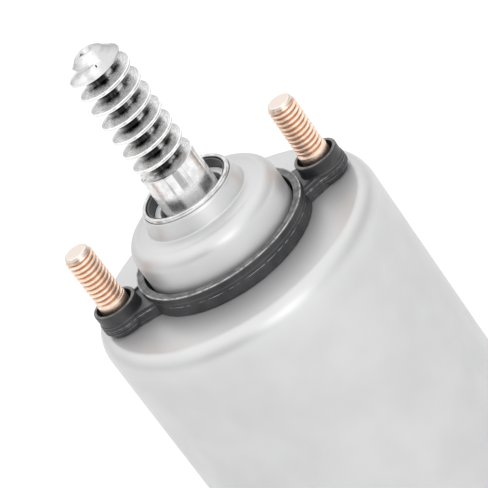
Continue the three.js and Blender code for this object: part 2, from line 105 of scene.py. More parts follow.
WORM_DOME = 46.9
WORM_PITCH = 3.6
WORM_CREST = 5.95
WORM_ROOT = 3.7
WORM_CREST_AT_X = 41.21  # height of a crest on the +X side
CENTRE_DRILL = 0.45
STUD_PITCH = 1.04
STUD_CREST = 2.95
STUD_ROOT = 2.46
STUD_SHANK = 3.1
STUD_THREAD_START = 6.6


def above(height):
    """Height over the rear face for a height over the flange."""
    return FLANGE + height


# ------------------------------------------------------------------ mesh helpers

def new_object(name, points, faces):
    """A mesh object from points in millimetres."""
    mesh = bpy.data.meshes.new(name)
    mesh.from_pydata([(x * MM, y * MM, z * MM) for x, y, z in points], [], faces)
    obj = bpy.data.objects.new(name, mesh)
    scene.collection.objects.link(obj)
    return obj


def rounded(corners, closed=True, step=15):
    """Outline points from (radius, height, fillet) corners, with support points beside each fillet."""
    points = []
    count = len(corners)
    for i, corner in enumerate(corners):
        here = Vector(corner[:2])
        fillet = corner[2] if len(corner) > 2 else 0
        inner = closed or 0 < i < count - 1
        if not fillet or not inner:
            points.append(here)
            continue
        back = Vector(corners[i - 1][:2]) - here
        ahead = Vector(corners[(i + 1) % count][:2]) - here
        half = back.angle(ahead) / 2
        reach = min(fillet / math.tan(half), 0.46 * back.length, 0.46 * ahead.length)
        radius = reach * math.tan(half)
        u, v = back.normalized(), ahead.normalized()
        centre = here + (u + v).normalized() * (radius / math.sin(half))
        spare = 0.4 * reach + 0.02
        if reach + spare < 0.5 * back.length:
            points.append(here + u * (reach + spare))
        sweep = math.pi - 2 * half
        steps = max(2, round(math.degrees(sweep) / step))
        start = here + u * reach - centre
        turn = sweep if start.cross(here + v * reach - centre) > 0 else -sweep
        for k in range(steps + 1):
            angle = turn * k / steps
            points.append(centre + Vector((
                start.x * math.cos(angle) - start.y * math.sin(angle),
                start.x * math.sin(angle) + start.y * math.cos(angle))))
        if reach + spare < 0.5 * ahead.length:
            points.append(here + v * (reach + spare))
    return [(p.x, p.y) for p in points]


def quarter(start, end, steps=14):
    """Quarter of an ellipse from a vertical start to a flat end."""
    points = []
    for i in range(steps + 1):
        angle = i / steps * math.pi / 2
        points.append((
            end[0] + (start[0] - end[0]) * math.cos(angle),
            start[1] + (end[1] - start[1]) * math.sin(angle)))
    return points


def turned(name, outline, segments=128, x=0.0, y=0.0):
    """A closed outline of (radius, height) points turned about a vertical axis."""
    outline = [p for i, p in enumerate(outline) if p != outline[i - 1]]
    area = sum(a[0] * b[1] - b[0] * a[1] for a, b in zip(outline, outline[1:] + outline[:1]))
    if area < 0:
        outline = outline[::-1]
    points, rings = [], []
    for radius, height in outline:
        if radius < 1e-6:
            rings.append([len(points)] * segments)
            points.append((x, y, height))
            continue
        rings.append(list(range(len(points), len(points) + segments)))
        for k in range(segments):
            angle = 2 * math.pi * k / segments
            points.append((x + radius * math.cos(angle), y + radius * math.sin(angle), height))
    faces = []
    for low, high in zip(rings, rings[1:] + rings[:1]):
        if low[0] == low[1] and high[0] == high[1]:
            continue
        for k in range(segments):
            after = (k + 1) % segments
            corners = (low[k], low[after], high[after], high[k])
            faces.append(tuple(dict.fromkeys(corners)))
    return new_object(name, points, faces)


def screw(name, section, pitch, turns, columns, start):
    """A solid screw from the (radius, offset) section of one pitch, its rows laid along the helix."""
    points, index = [], {}
    per_pitch = len(section)
    rows = per_pitch * turns
    for row in range(rows + per_pitch + 1):
        for column in range(columns if row <= rows else 1):
            radius, offset = section[row % per_pitch]
            angle = 2 * math.pi * column / columns
            height = start + offset + pitch * (row // per_pitch + column / columns)
            index[row, column] = len(points)
            points.append((radius * math.cos(angle), radius * math.sin(angle), height))
    for row in range(rows + 1):
        index[row, columns] = index[row + per_pitch, 0]
    faces = []
    for row in range(rows):
        for column in range(columns):
            faces.append((index[row, column], index[row, column + 1],
                          index[row + 1, column + 1], index[row + 1, column]))
    for row, height, upwards in ((0, start, False), (rows, start + pitch * (turns + 1), True)):
        rim = [index[row, column] for column in range(columns + 1)]
        rim += [index[row + step, 0] for step in range(per_pitch - 1, 0, -1)]
        centre = len(points)
        points.append((0, 0, height))
        for a, b in zip(rim, rim[1:] + rim[:1]):
            faces.append((centre, a, b) if upwards else (centre, b, a))
    return new_object(name, points, faces)


def loft(name, loops):
    """A closed solid through loops of points of equal length, capped at both ends."""
    points = [p for loop in loops for p in loop]
    size = len(loops[0])
    faces = []
    for i in range(len(loops) - 1):
        for k in range(size):
            after = (k + 1) % size
            faces.append((i * size + k, i * size + after,
                          (i + 1) * size + after, (i + 1) * size + k))
    faces.append(tuple(reversed(range(size))))
    faces.append(tuple(range((len(loops) - 1) * size, len(loops) * size)))
    obj = new_object(name, points, faces)
    tidy(obj)
    return obj


def tidy(obj):
    """Merges doubled points and turns every face outwards."""
    mesh = bmesh.new()
    mesh.from_mesh(obj.data)
    bmesh.ops.remove_doubles(mesh, verts=mesh.verts, dist=1e-7)
    bmesh.ops.recalc_face_normals(mesh, faces=mesh.faces)
    mesh.to_mesh(obj.data)
    mesh.free()


def bake(obj):
    """Applies the object's modifiers to its mesh."""
    graph = bpy.context.evaluated_depsgraph_get()
    mesh = bpy.data.meshes.new_from_object(obj.evaluated_get(graph), depsgraph=graph)
    obj.modifiers.clear()
    obj.data = mesh


def combine(obj, others, operation):
    """Joins, cuts or intersects obj with the others, which are used up."""
    for other in others:
        modifier = obj.modifiers.new("combine", "BOOLEAN")
        modifier.operation = operation
        modifier.solver = "EXACT"
        modifier.object = other
    bake(obj)
    for other in others:
        bpy.data.objects.remove(other)
    return obj


def post(radius, low, high, x=0.0, y=0.0, segments=64):
    return turned("tool", [(0, low), (radius, low), (radius, high), (0, high)], segments, x, y)


def rounded_rectangle(half_x, low, high, corner, arc=6):
    """Points of a rounded rectangle in a plane, centred on zero across."""
    points = []
    for cx, cy, start in ((half_x - corner, low + corner, -90), (half_x - corner, high - corner, 0),
                          (corner - half_x, high - corner, 90), (corner - half_x, low + corner, 180)):
        for k in range(arc + 1):
            angle = math.radians(start + 90 * k / arc)
            points.append((cx + corner * math.cos(angle), cy + corner * math.sin(angle)))
    return points


# ------------------------------------------------------------------ material helpers

def grey(value):
    return (value, value, value)


class Graph:
    """Shorthand for building nodes in a material's or the world's node tree."""

    def __init__(self, tree):
        self.nodes, self.links = tree.nodes, tree.links

    def feed(self, socket, value):
        """Sets a plain value on the socket, or links another node's output to it."""
        if isinstance(value, (int, float, tuple)):
            socket.default_value = value
        else:
            self.links.new(value, socket)

    def math(self, operation, a, b=None, clamp=False):
        node = self.nodes.new("ShaderNodeMath")
        node.operation = operation
        node.use_clamp = clamp
        self.feed(node.inputs[0], a)
        if b is not None:
            self.feed(node.inputs[1], b)
        return node.outputs[0]

    def times(self, a, b):
        return self.math("MULTIPLY", a, b)

    def remap(self, value, low, high, to_low, to_high):
        """Goes smoothly from to_low at low to to_high at high, and stays level beyond them."""
        node = self.nodes.new("ShaderNodeMapRange")
        node.interpolation_type = "SMOOTHSTEP"
        self.links.new(value, node.inputs["Value"])
        for socket, number in zip(("From Min", "From Max", "To Min", "To Max"),
                                  (low, high, to_low, to_high)):
            node.inputs[socket].default_value = number
        return node.outputs["Result"]

    def rise(self, value, low, high):
        return self.remap(value, low, high, 0, 1)

    def fall(self, value, low, high):
        return self.remap(value, low, high, 1, 0)


class Finish(Graph):
    """A node material around one Principled shader, with its textures in millimetres."""

    def __init__(self, name, metallic, **constants):
        self.material = bpy.data.materials.new(name)
        self.material.use_nodes = True
        super().__init__(self.material.node_tree)
        self.shader = self.nodes["Principled BSDF"]
        self.shader.inputs["Metallic"].default_value = metallic
        for socket, value in constants.items():
            self.shader.inputs[socket.replace("_", " ")].default_value = value
        coordinates = self.nodes.new("ShaderNodeTexCoord")
        scaled = self.nodes.new("ShaderNodeVectorMath")
        scaled.operation = "SCALE"
        scaled.inputs["Scale"].default_value = 1 / MM
        self.links.new(coordinates.outputs["Object"], scaled.inputs[0])
        self.place = scaled.outputs[0]
        split = self.nodes.new("ShaderNodeSeparateXYZ")
        self.links.new(self.place, split.inputs[0])
        self.x, self.y, self.height = split.outputs

    def distance(self, x, y):
        """Distance in plan from the upright line through x, y."""
        across = self.math("SUBTRACT", self.x, x)
        along = self.math("SUBTRACT", self.y, y)
        return self.math("SQRT", self.math("ADD", self.times(across, across), self.times(along, along)))

    def radius(self):
        return self.distance(0, 0)

    def azimuth(self):
        return self.math("ARCTAN2", self.y, self.x)

    def lathe_lines(self, along, around):
        """A texture vector that changes quickly across turning lines and slowly along them."""
        node = self.nodes.new("ShaderNodeCombineXYZ")
        self.links.new(self.times(self.radius(), along), node.inputs[0])
        self.links.new(self.times(self.height, along), node.inputs[1])
        self.links.new(self.times(self.math("SINE", self.azimuth()), around), node.inputs[2])
        return node.outputs[0]

    def axial_lines(self, around, along):
        """A texture vector that changes quickly round the shaft and slowly along it."""
        node = self.nodes.new("ShaderNodeVectorMath")
        node.operation = "MULTIPLY"
        self.links.new(self.place, node.inputs[0])
        node.inputs[1].default_value = (around, around, along)
        return node.outputs[0]

    def band(self, value, centre, half_width):
        """One near the centre value, falling to zero at half_width from it."""
        away = self.math("ABSOLUTE", self.math("SUBTRACT", value, centre))
        return self.fall(away, 0.4 * half_width, half_width)

    def noise(self, scale, detail=3.0, vector=None, distortion=0.0):
        node = self.nodes.new("ShaderNodeTexNoise")
        node.inputs["Scale"].default_value = scale
        node.inputs["Detail"].default_value = detail
        node.inputs["Distortion"].default_value = distortion
        self.links.new(self.place if vector is None else vector, node.inputs["Vector"])
        return node.outputs["Fac"]

    def specks(self, scale, size):
        """One on small round specks and zero between them."""
        node = self.nodes.new("ShaderNodeTexVoronoi")
        node.inputs["Scale"].default_value = scale
        self.links.new(self.place, node.inputs["Vector"])
        return self.fall(node.outputs["Distance"], 0, size)

    def blend(self, factor, first, second):
        """The first colour where the factor is zero and the second where it is one."""
        node = self.nodes.new("ShaderNodeMix")
        node.data_type = "RGBA"
        self.links.new(factor, node.inputs["Factor"])
        for socket, value in zip((node.inputs[6], node.inputs[7]), (first, second)):
            self.feed(socket, (*value, 1) if isinstance(value, tuple) else value)
        return node.outputs[2]

    def mottle(self, noise, first, second, low=0.3, high=0.7):
        """Two colours that run into each other with the noise."""
        return self.blend(self.rise(noise, low, high), first, second)

    def colour(self, value):
        self.links.new(value, self.shader.inputs["Base Color"])

    def rough(self, noise, smooth, coarse, low=0.3, high=0.7):
        roughness = self.remap(noise, low, high, smooth, coarse)
        self.links.new(roughness, self.shader.inputs["Roughness"])

    def bumps(self, *layers):
        """Stacks (height, depth in millimetres) layers into the shader's normal."""
        previous = None
        for height, depth in layers:
            node = self.nodes.new("ShaderNodeBump")
            node.inputs["Strength"].default_value = 1.0
            node.inputs["Distance"].default_value = depth * MM
            self.links.new(height, node.inputs["Height"])
            if previous is not None:
                self.links.new(previous, node.inputs["Normal"])
            previous = node.outputs["Normal"]
        self.links.new(previous, self.shader.inputs["Normal"])


# ------------------------------------------------------------------ materials of the outside

def can_steel():
    """Satin drawn steel, with painted light: the side painted darker and the flange and nose lighter,
    standing in for how the light falls on them.
    """
    f = Finish("satin_can_steel", 0.6)
    grain = f.noise(9.0, 4.0)
    cloud = f.noise(0.09, 2.0)
    drawn = f.noise(1.0, 5.0, f.lathe_lines(3.0, 2.0))
    # Painted light: a darker tone for the side and a lighter one for the flange and nose.
    side = f.mottle(cloud, (0.55, 0.55, 0.553), (0.59, 0.59, 0.592))
    front = f.mottle(cloud, (0.61, 0.61, 0.613), (0.63, 0.63, 0.632))
    base = f.blend(f.rise(f.height, above(-8), above(-1)), side, front)
    f.colour(f.blend(f.specks(0.9, 0.04), base, (0.45, 0.44, 0.43)))
    f.rough(grain, 0.40, 0.48, 0.2, 0.8)
    f.bumps((grain, 0.005), (drawn, 0.004))
    return f.material


def polished_steel():
    f = Finish("polished_seal_steel", 1.0)
    f.colour(f.mottle(f.noise(0.6, 3.0), (0.55, 0.55, 0.555), grey(0.72), 0.35, 0.65))
    f.rough(f.noise(2.0), 0.16, 0.28)
    f.bumps((f.noise(1.0, 6.0, f.lathe_lines(14.0, 0.6)), 0.003))
    return f.material


def painted_light_ring_steel():
    # Painted light: a paler, less metallic copy of the bearing steel, lightened to offset the shade in
    # the seal's recess.
    f = Finish("painted_light_ring_steel", 0.3)
    lines = f.noise(1.0, 6.0, f.lathe_lines(12.0, 0.5))
    f.colour(f.mottle(lines, grey(0.82), grey(0.92)))
    f.rough(f.noise(1.5), 0.4, 0.5)
    f.bumps((lines, 0.002))
    return f.material


def shaft_steel():
    """Ground steel, with painted shade in the worm's grooves, a painted highlight on its crests and
    painted light on its foot by the seal.
    """
    f = Finish("ground_shaft_steel", 1.0)
    lines = f.noise(1.0, 6.0, f.lathe_lines(10.0, 0.8))
    streaks = f.noise(1.0, 3.0, f.axial_lines(0.55, 0.02))
    stain = f.noise(0.7, 4.0)
    turn = f.math("DIVIDE", f.azimuth(), 2 * math.pi)
    foot = f.fall(f.height, above(17.4), above(19.4))

    plain = f.mottle(stain, (0.82, 0.82, 0.825), grey(0.68), 0.35)
    plain = f.mottle(streaks, plain, grey(0.38), 0.5, 0.56)
    # Painted light: the foot by the seal is paler, standing in for light seen there instead of the
    # mirrored dark seal.
    plain = f.blend(foot, plain, grey(0.86))
    thread = f.blend(f.rise(f.radius(), WORM_CREST - 0.17, WORM_CREST - 0.05),
                     groove_colour(f, lines, stain, turn), land_colour(f, streaks, turn))
    worm = f.blend(f.rise(f.height, above(WORM_DOME - 0.3), above(WORM_DOME + 0.5)),
                   thread, tip_colour(f, streaks))
    threaded = f.rise(f.height, above(WORM_START + 0.2), above(WORM_START + 0.7))
    f.colour(f.blend(threaded, plain, worm))

    # Painted reflection: the foot is made less metallic so it does not mirror the dark seal, except in
    # two spots where that dark reflection is left.
    painted_reflection_spots = f.math("MAXIMUM", f.band(turn, -0.35, 0.065), f.band(turn, -0.14, 0.065))
    dull = f.times(foot, f.remap(painted_reflection_spots, 0, 1, 0.8, 0.1))
    f.links.new(f.math("SUBTRACT", 1, dull), f.shader.inputs["Metallic"])
    f.rough(stain, 0.24, 0.32)
    f.bumps((lines, 0.003))
    return f.material


def groove_colour(f, lines, stain, turn):
    """Grey flanks with painted shade at the root, darkest towards the front (-y) side, and a painted
    highlight streak across it.
    """
    ragged = f.remap(f.noise(1.0, 3.0, f.axial_lines(0.9, 0.2)), 0.3, 0.7, 0, 0.6)
    # Painted shade: the root is darkened as if shaded by the crests, most towards the front (-y) side.
    painted_root_shade = f.fall(f.math("SUBTRACT", f.radius(), ragged), 3.5, 4.45)
    painted_root_shade = f.times(painted_root_shade, f.remap(f.y, -3.4, -0.6, 1, 0.35))
    # Painted highlight: a streak along the shaft where the root is left bright.
    painted_highlight_streak = f.times(f.band(turn, -0.2, 0.045), f.remap(stain, 0.4, 0.6, 0.15, 0.75))
    flank = f.mottle(lines, grey(0.72), grey(0.48), 0.42, 0.6)
    return f.blend(f.math("SUBTRACT", painted_root_shade, painted_highlight_streak, clamp=True), flank, grey(0.02))


def land_colour(f, streaks, turn):
    """Crest painted bright as a highlight, with a grey line along its middle, which follows the helix.
    """
    climb = f.math("DIVIDE", f.math("SUBTRACT", f.height, above(WORM_CREST_AT_X)), WORM_PITCH)
    from_middle = f.math("PINGPONG", f.math("SUBTRACT", climb, turn), 0.5)
    line = f.times(f.fall(from_middle, 0.03, 0.06), f.remap(streaks, 0.4, 0.6, 0.4, 1))
    # Painted highlight: the crest is near white.
    return f.blend(line, grey(0.97), grey(0.42))


def tip_colour(f, streaks):
    """Pale dome, greyer on one side, with a dark mark beside the centre hole."""
    dome = f.mottle(streaks, grey(0.74), grey(0.58), 0.4, 0.6)
    dome = f.blend(f.rise(f.x, 0.6, 1.6), dome, grey(0.56))
    reach = f.math("ADD", f.distance(-0.7, -0.5), f.remap(f.noise(2.5), 0.3, 0.7, 0, 0.5))
    return f.blend(f.fall(reach, 0.85, 1.05), dome, grey(0.06))


def copper_plated_steel():
    """Pale copper plate, with painted shade making it browner in the thread grooves, and paler again at
    the tip.
    """
    f = Finish("copper_plated_steel", 1.0)
    groove = f.fall(f.radius(), STUD_ROOT + 0.04, STUD_CREST - 0.1)
    threaded = f.rise(f.height, above(STUD_THREAD_START + 0.3), above(STUD_THREAD_START + 0.8))
    tip = f.rise(f.height, above(BOLT_TIP - 1.0), above(BOLT_TIP - 0.3))
    clean = f.mottle(f.noise(1.1, 4.0), (0.96, 0.80, 0.70), (0.90, 0.65, 0.50), 0.35, 0.65)
    # Painted shade: the thread grooves are darkened brown.
    plated = f.blend(f.times(groove, threaded), clean, (0.60, 0.36, 0.23))
    f.colour(f.blend(tip, plated, (0.80, 0.71, 0.64)))
    f.rough(f.noise(6.0), 0.28, 0.42)
    f.bumps((f.noise(12.0), 0.004))
    return f.material


def black_rubber():
    f = Finish("moulded_black_rubber", 0.0, Specular_IOR_Level=0.5)
    grain = f.noise(7.0, 5.0)
    base = f.mottle(f.noise(0.35, 3.0), (0.055, 0.056, 0.058), (0.085, 0.086, 0.088))
    f.colour(f.blend(f.specks(1.6, 0.06), base, grey(0.3)))
    f.rough(grain, 0.38, 0.55)
    f.bumps((grain, 0.012))
    return f.material


def gasket_rubber():
    """Moulded rubber of the gasket, with painted sheen on its top faces and painted highlights along
    its edges, seam and ridges.
    """
    f = Finish("gasket_rubber", 0.0, Specular_IOR_Level=0.5)
    grain = f.noise(7.0, 5.0)
    height, radius = f.height, f.radius()
    patchy = f.remap(f.noise(0.8, 4.0), 0.4, 0.6, 0.15, 1)
    colour = f.mottle(f.noise(0.35, 3.0), (0.018, 0.018, 0.02), (0.038, 0.038, 0.041))

    # Painted sheen: the collar and eyelet tops are lighter where they face up.
    collar_top = f.times(f.band(height, above(COLLAR_TOP), 0.3), f.fall(radius, 19, 19.2))
    eyelet_top = f.rise(height, above(GASKET_TOP - 0.1), above(GASKET_TOP - 0.02))
    painted_top_sheen = f.mottle(f.noise(0.5, 4.0), (0.09, 0.09, 0.092), (0.18, 0.18, 0.182), 0.4, 0.6)
    colour = f.blend(f.math("MAXIMUM", collar_top, eyelet_top), colour, painted_top_sheen)

    # Painted sheen: the web tops are lighter where they face up.
    colour = f.blend(f.band(height, above(3.0), 0.05), colour, (0.12, 0.12, 0.122))
    # Painted highlights: pale lines along the seam and the collar's top edge.
    painted_seam_highlight = f.times(f.band(height, above(SEAM_HEIGHT), 0.09), patchy)
    colour = f.blend(painted_seam_highlight, colour, grey(0.5))
    painted_edge_highlight = f.times(f.band(radius, COLLAR_RADIUS - 0.2, 0.16), collar_top)
    colour = f.blend(f.times(painted_edge_highlight, patchy), colour, grey(0.55))

    # Painted highlights: lighter bands along the eyelet ridges.
    outside = f.rise(radius, 19.3, 19.6)
    comb = f.math("PINGPONG", f.math("SUBTRACT", height, above(0.45)), RIDGE_PITCH / 2)
    ridges = f.times(f.rise(comb, 0.2, 0.27), outside)
    low_tier = f.fall(height, above(2.8), above(2.9))
    colour = f.blend(f.times(f.times(ridges, low_tier), patchy), colour, (0.16, 0.16, 0.162))
    f.colour(f.blend(f.specks(1.3, 0.055), colour, grey(0.35)))
    f.rough(grain, 0.34, 0.5)
    f.bumps((grain, 0.012))
    return f.material


def black_plastic():
    f = Finish("moulded_black_plastic", 0.0)
    grain = f.noise(6.0, 4.0)
    f.colour(f.mottle(f.noise(0.2, 3.0), (0.03, 0.03, 0.033), (0.048, 0.048, 0.052)))
    f.rough(grain, 0.35, 0.5)
    f.bumps((grain, 0.01))
    return f.material


def cast_aluminium():
    f = Finish("die_cast_aluminium", 1.0)
    skin = f.noise(3.0, 5.0)
    flow = f.noise(0.15, 4.0, distortion=0.6)
    f.colour(f.mottle(flow, (0.52, 0.53, 0.54), (0.64, 0.645, 0.65)))
    f.rough(skin, 0.38, 0.55)
    f.bumps((skin, 0.02))
    return f.material


# ------------------------------------------------------------------ materials of the inside

def spring_steel():
    f = Finish("spring_steel", 1.0)
    lines = f.noise(2.5, 5.0)
    f.colour(f.mottle(lines, (0.36, 0.37, 0.39), (0.5, 0.5, 0.51)))
    f.rough(lines, 0.25, 0.4)
    f.bumps((f.noise(14.0), 0.003))
    return f.material


def bearing_steel():
    f = Finish("bearing_steel", 1.0)
    lines = f.noise(1.0, 6.0, f.lathe_lines(12.0, 0.5))
    f.colour(f.mottle(lines, (0.6, 0.61, 0.62), (0.7, 0.71, 0.72)))
    f.rough(f.noise(1.5), 0.12, 0.25)
    f.bumps((lines, 0.002))
    return f.material


def ferrite():
    f = Finish("sintered_ferrite", 0.0)
    grain = f.noise(5.0, 5.0)
    f.colour(f.mottle(grain, (0.07, 0.07, 0.075), (0.12, 0.12, 0.125)))
    f.rough(grain, 0.6, 0.8)
    f.bumps((grain, 0.02))
    return f.material


def lamination_steel():
    """Grey steel with the edges of half-millimetre sheets."""
    f = Finish("lamination_steel", 1.0)
    stack = f.math("SINE", f.times(f.height, 2 * math.pi / 0.5))
    cloud = f.noise(0.8, 4.0)
    f.colour(f.mottle(cloud, (0.24, 0.245, 0.25), (0.36, 0.36, 0.37)))
    f.rough(cloud, 0.4, 0.6)
    f.bumps((stack, 0.02), (f.noise(10.0), 0.004))
    return f.material


def copper_wire():
    f = Finish("enamelled_copper", 1.0, Coat_Weight=0.4, Coat_Roughness=0.15)
    cloud = f.noise(1.5, 4.0)
    f.colour(f.mottle(cloud, (0.5, 0.2, 0.09), (0.66, 0.3, 0.14)))
    f.rough(cloud, 0.25, 0.4)
    f.bumps((f.noise(1.0, 2.0, f.lathe_lines(2.2, 3.0)), 0.05))
    return f.material


def slot_insulation():
    f = Finish("slot_insulation", 0.0)
    fibre = f.noise(4.0, 6.0)
    f.colour(f.mottle(fibre, (0.16, 0.3, 0.2), (0.24, 0.4, 0.27)))
    f.rough(fibre, 0.5, 0.7)
    f.bumps((fibre, 0.01))
    return f.material


def brass():
    f = Finish("stamped_brass", 1.0)
    lines = f.noise(2.0, 5.0)
    f.colour(f.mottle(lines, (0.66, 0.5, 0.22), (0.78, 0.62, 0.3)))
    f.rough(lines, 0.22, 0.36)
    f.bumps((f.noise(14.0), 0.003))
    return f.material


def carbon():
    f = Finish("pressed_carbon", 0.0)
    grain = f.noise(8.0, 4.0)
    f.colour(f.mottle(grain, (0.035, 0.035, 0.038), (0.07, 0.07, 0.075)))
    f.rough(grain, 0.55, 0.75)
    f.bumps((grain, 0.01))
    return f.material


finishes = {make.__name__: make() for make in (
    can_steel, polished_steel, shaft_steel, copper_plated_steel, black_rubber, spring_steel,
    bearing_steel, ferrite, lamination_steel, copper_wire, slot_insulation, black_plastic,
    cast_aluminium, brass, carbon)}


def shade(obj, crease):
    obj.data.shade_smooth()
    obj.data.set_sharp_from_angle(angle=math.radians(crease))


def place(obj, body, slot, *nodes, crease=28, look=None):
    """Gives a finished piece its look, hangs it on the body it rides on and hides the CAD parts it
    stands for.
    """
    shade(obj, crease)
    obj.data.materials.clear()
    obj.data.materials.append(look or finishes[slot])
    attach(obj, body)
    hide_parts(*nodes)
    return obj


# ------------------------------------------------------------------ can

def make_can():
    """The deep-drawn shell: side, flange, boss and neck, and the bearing's seat inside."""
    inner = CAN_RADIUS - CAN_WALL
    back = above(-FLANGE_THICKNESS)
    seat = above(-0.05)
    outline = rounded([
        (inner, CAN_REAR, 0.3), (CAN_RADIUS, CAN_REAR, 0.5), (CAN_RADIUS, above(-SHOULDER)),
        *quarter((CAN_RADIUS, above(-SHOULDER)), (28.4, FLANGE), 18)[1:],
        (19.4, FLANGE), (19.2, seat), (BOSS_RADIUS, seat, 0.6), (BOSS_RADIUS, above(BOSS_SIDE)),
        *quarter((BOSS_RADIUS, above(BOSS_SIDE)), (13.65, above(BOSS_CROWN)), 14)[1:],
        (13.55, above(11.86)), (10.85, above(12.1), 0.35), (10.2, above(15.1), 0.25),
        (9.95, above(NECK_RIM), 0.15), (SEAL_BORE, above(NECK_RIM), 0.1),
        (SEAL_BORE, above(8.75)), (12.4, above(8.75)), (12.4, above(7.7)),
        (BEARING_SEAT, above(7.7)), (BEARING_SEAT, back), (inner - 0.8, back), (inner, back - 0.8),
    ])
    can = turned("can_shell", outline, 192)
    holes = [post(BOLT_HOLE, back - 1, above(1), x) for x in (-BOLT_X, BOLT_X)]
    combine(can, holes, "DIFFERENCE")
    place(can, "housing", "can_steel", "motor_can")


# ------------------------------------------------------------------ shaft seal

def make_seal():
    """The pressed case, the rubber moulded into it and the pale ring round the lip."""
    rim, foot, inside = above(SEAL_RIM), above(9), above(9.8)
    case = rounded([
        (7.5, foot, 0.2), (9.6, foot, 0.3), (9.6, rim, 0.35),
        (8.8, rim, 0.3), (8.8, inside, 0.3), (7.5, inside, 0.2),
    ])
    place(turned("seal_ring", case, 160), "housing", "polished_steel", "seal_case")
    wall_top, ledge = above(SEAL_RIM - 0.4), above(12.2)
    lip = rounded([
        (6.25, above(9.1), 0.1), (6.45, above(9.1), 0.1), (6.5, above(9.9), 0.1),
        (6.9, above(10.1), 0.1), (8.7, above(10.1), 0.15), (8.7, wall_top, 0.2),
        (8.25, wall_top, 0.2), (8.25, ledge, 0.1), (6.8, ledge, 0.1),
        (6.8, above(SEAL_FLOOR - 0.2), 0.25), (6.25, above(SEAL_FLOOR - 0.6), 0.1),
    ])
    place(turned("seal_lip_moulding", lip, 128), "housing", "black_rubber", "seal_lip")
    ring = rounded([
        (6.9, above(12.3), 0.1), (8.15, above(12.3), 0.1), (8.15, above(SEAL_FLOOR), 0.15),
        (6.9, above(SEAL_FLOOR), 0.15),
    ])
    place(turned("seal_stiffening_ring", ring, 128), "housing", "bearing_steel",
          "seal_inner_ring", look=painted_light_ring_steel())


# ------------------------------------------------------------------ worm shaft

def make_shaft():
    """The stepped shaft joined to a worm, which is cut to its domed tip and centre-drilled."""
    land, flank = 0.31, 1.35
    section = rounded([
        (WORM_CREST, 0), (WORM_CREST, land, 0.1), (WORM_ROOT, flank, 0.3),
        (WORM_ROOT, WORM_PITCH / 2), (WORM_ROOT, WORM_PITCH - flank, 0.3),
        (WORM_CREST, WORM_PITCH - land, 0.1), (WORM_CREST, WORM_PITCH),
    ], closed=False, step=22)[:-1]
    turns_below, turns = 7, 11
    start = above(WORM_CREST_AT_X) - turns_below * WORM_PITCH
    worm = screw("worm", section, WORM_PITCH, turns, 96, start)
    envelope = turned("tool", rounded([
        (0, above(21.4)), (6.1, above(21.4)), (6.1, above(WORM_DOME)), (5.5, above(47.8), 0.6),
        (4.35, above(48.6), 0.6), (3.5, above(49.4), 0.6), (2.95, above(50), 0.5),
        (1.8, above(SHAFT_TIP), 0.3), (1.1, above(SHAFT_TIP), 0.05),
        (CENTRE_DRILL, above(SHAFT_TIP - 1)), (CENTRE_DRILL, above(SHAFT_TIP - 2.1)),
        (0, above(SHAFT_TIP - 2.4)),
    ]), 96)
    combine(worm, [envelope], "INTERSECT")
    shaft = turned("shaft_with_worm", rounded([
        (0, 3.6), (3.95, 3.6, 0.5), (3.95, 11.6), (5, 11.6, 0.2), (5, 28.2),
        (SHAFT_RADIUS, 28.2, 0.2), (SHAFT_RADIUS, above(19.7), 0.04), (5.95, above(19.75)),
        (5.95, above(WORM_START), 0.25), (0, above(WORM_START)),
    ]), 128)
    combine(shaft, [worm], "UNION")
    place(shaft, "rotor", "shaft_steel", "worm_shaft")


# ------------------------------------------------------------------ brush springs

def make_brush_spring(index):
    """A coil spring with closed ends, lying along its brush's slide."""
    node, joint = f"brush_spring_{index}", f"brush_{index}_slide"
    outward = Vector(joints[joint]["axis"])
    sideways = Vector((-outward.y, outward.x, 0))
    height = Vector((0, 0, middle(node).z))
    brush_end, start, end, wall = 18, 18.4, 23.6, 24
    coil, wire, turns, steps = 2.2, 0.33, 5, 200
    loops = []
    for k in range(steps + 1):
        share = k / steps
        advance = share - 0.35 * math.sin(2 * math.pi * share) / (2 * math.pi)
        turn = 2 * math.pi * turns * share
        spoke = sideways * math.cos(turn) + Vector((0, 0, math.sin(turn)))
        centre = outward * (start + (end - start) * advance) + spoke * coil + height
        loops.append([
            tuple(centre + (spoke * math.cos(a) + outward * math.sin(a)) * wire)
            for a in (2 * math.pi * i / 12 for i in range(12))
        ])
    spring = place(loft(f"brush_coil_spring_{index}", loops), "housing", "spring_steel", node)
    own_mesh(spring)


# ------------------------------------------------------------------ through-bolts

def make_bolt(name, body, node, x):
    """A long bolt with a cut thread on its end and a hexagon socket in its head."""
    land, flank = 0.14, 0.46
    section = rounded([
        (STUD_CREST, 0), (STUD_CREST, land, 0.05), (STUD_ROOT, flank, 0.06),
        (STUD_ROOT, STUD_PITCH - flank, 0.06), (STUD_CREST, STUD_PITCH - land, 0.05),
        (STUD_CREST, STUD_PITCH),
    ], closed=False, step=30)[:-1]
    turns = 14
    thread = screw(name, section, STUD_PITCH, turns, 72, above(5))
    low, high = above(STUD_THREAD_START), above(BOLT_TIP - 1.6)
    envelope = turned("tool", rounded([
        (0, low), (STUD_SHANK, low), (STUD_SHANK, high), (2.55, above(BOLT_TIP - 0.5)),
        (2.55, above(BOLT_TIP - 0.3)), (0, above(BOLT_TIP - 0.3)),
    ]), 72)
    combine(thread, [envelope], "INTERSECT")
    shank = turned("tool", rounded([
        (0, 0.8), (5, 0.8, 0.5), (5, 6.8, 0.2), (2.95, 6.8, 0.25), (2.95, 80.5),
        (STUD_SHANK, 80.7), (STUD_SHANK, low + 0.1, 0.15), (2.4, low + 0.6),
        (2.4, above(BOLT_TIP - 2)), (2.6, above(BOLT_TIP - 1.2), 0.3),
        (2.45, above(BOLT_TIP), 0.4), (0, above(BOLT_TIP)),
    ]), 72)
    combine(thread, [shank], "UNION")
    socket = post(2.9, 0, 4.4, segments=6)
    combine(thread, [socket], "DIFFERENCE")
    thread.location.x = x * MM
    place(thread, body, "copper_plated_steel", node)


# ------------------------------------------------------------------ gasket

